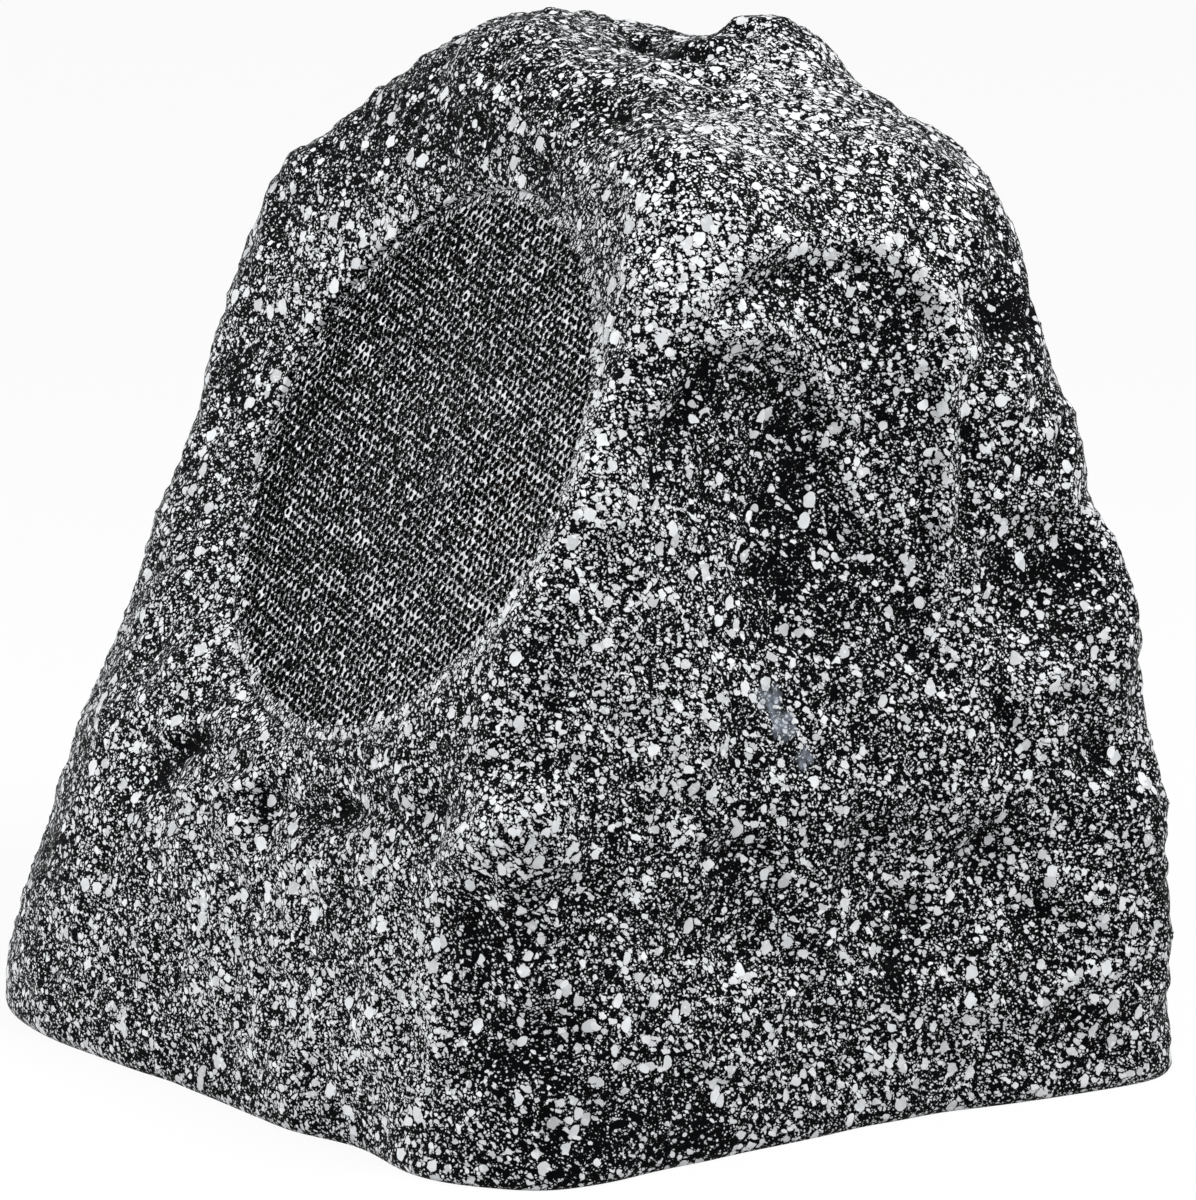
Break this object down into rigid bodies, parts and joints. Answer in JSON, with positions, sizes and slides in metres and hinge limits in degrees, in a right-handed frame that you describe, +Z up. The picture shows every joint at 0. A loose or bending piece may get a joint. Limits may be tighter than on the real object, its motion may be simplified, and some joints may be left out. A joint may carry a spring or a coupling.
{
  "type": "rock shaped garden speaker",
  "caption": "Garden loudspeaker in the shape of a boulder: moulded stone-look shell, round perforated grille, coaxial driver, screwed base and cable gland.",
  "frame": {"origin": "middle of the foot's outline on the ground, under the middle of the bounding box", "axes": "+Z up, the tallest way of the part; the grille faces -Y; +X is to the right of someone who faces the grille"},
  "size_m": [0.3464, 0.3772, 0.4096],
  "materials": {
    "stone_coat": "moulded resin stone, satin, dark grey with pale speckle",
    "grille_coat": "perforated steel with the same speckled coat",
    "black_foam": "closed-cell foam",
    "basket_paint": "satin black",
    "zinc_screw": "zinc plated",
    "black_rubber": "matte",
    "cone_plastic": "polypropylene, matte",
    "former_film": "heat-resistant film",
    "copper_wire": "enamelled copper wire",
    "spider_cloth": "resin-dipped cloth",
    "ferrite": "sintered ferrite, matte",
    "plated_steel": "zinc plated, turned",
    "black_plastic": "moulded ABS, satin",
    "dome_film": "thin film",
    "tag_laminate": "phenolic board",
    "tag_brass": "tinned brass",
    "base_plastic": "moulded ABS sheet, fine texture",
    "board_green": "glass-filled board, green mask",
    "nylon_white": "nylon",
    "film_blue": "dipped film capacitor",
    "white_ceramic": "cement-filled ceramic, matte",
    "terminal_green": "moulded nylon",
    "lead_red": "PVC insulation",
    "grey_felt": "polyester felt"
  },
  "bodies": {
    "speaker": {"rock_shell": "stone_coat", "grille": "grille_coat", "grille_gasket": "black_foam", "woofer_basket": "basket_paint", "woofer_gasket": "black_foam", "woofer_screws": "zinc_screw", "woofer_surround": "black_rubber", "trim_ring": "black_foam", "spider": "spider_cloth", "top_plate": "plated_steel", "magnet": "ferrite", "back_plate": "plated_steel", "tweeter_post": "plated_steel", "tweeter_cup": "black_plastic", "tweeter_magnet": "plated_steel", "tweeter_dome": "dome_film", "tweeter_bezel": "black_plastic", "tag_board": "tag_laminate", "tag_tabs": "tag_brass", "base_plate": "base_plastic", "base_gasket": "black_foam", "base_screws": "zinc_screw", "rubber_feet": "black_rubber", "gland_body": "black_plastic", "gland_seal": "black_rubber", "gland_cap": "black_plastic", "gland_nut": "black_plastic", "crossover_board": "board_green", "board_spacers": "nylon_white", "board_screws": "zinc_screw", "inductor_bobbin": "black_plastic", "inductor_winding": "copper_wire", "capacitor": "film_blue", "resistor": "white_ceramic", "input_terminal": "terminal_green", "woofer_lead": "lead_red", "damping_mat": "grey_felt"},
    "cone": {"woofer_cone": "cone_plastic", "voice_coil_former": "former_film", "voice_coil_winding": "copper_wire"}
  },
  "joints": [
    {"name": "cone_travel", "type": "slide", "parent": "speaker", "child": "cone", "axis": [0, -0.8829, 0.4695], "range_m": [-0.004, 0.004], "stiffness_N_per_m": 1500, "deforming": ["woofer_surround", "spider"]}
  ]
}
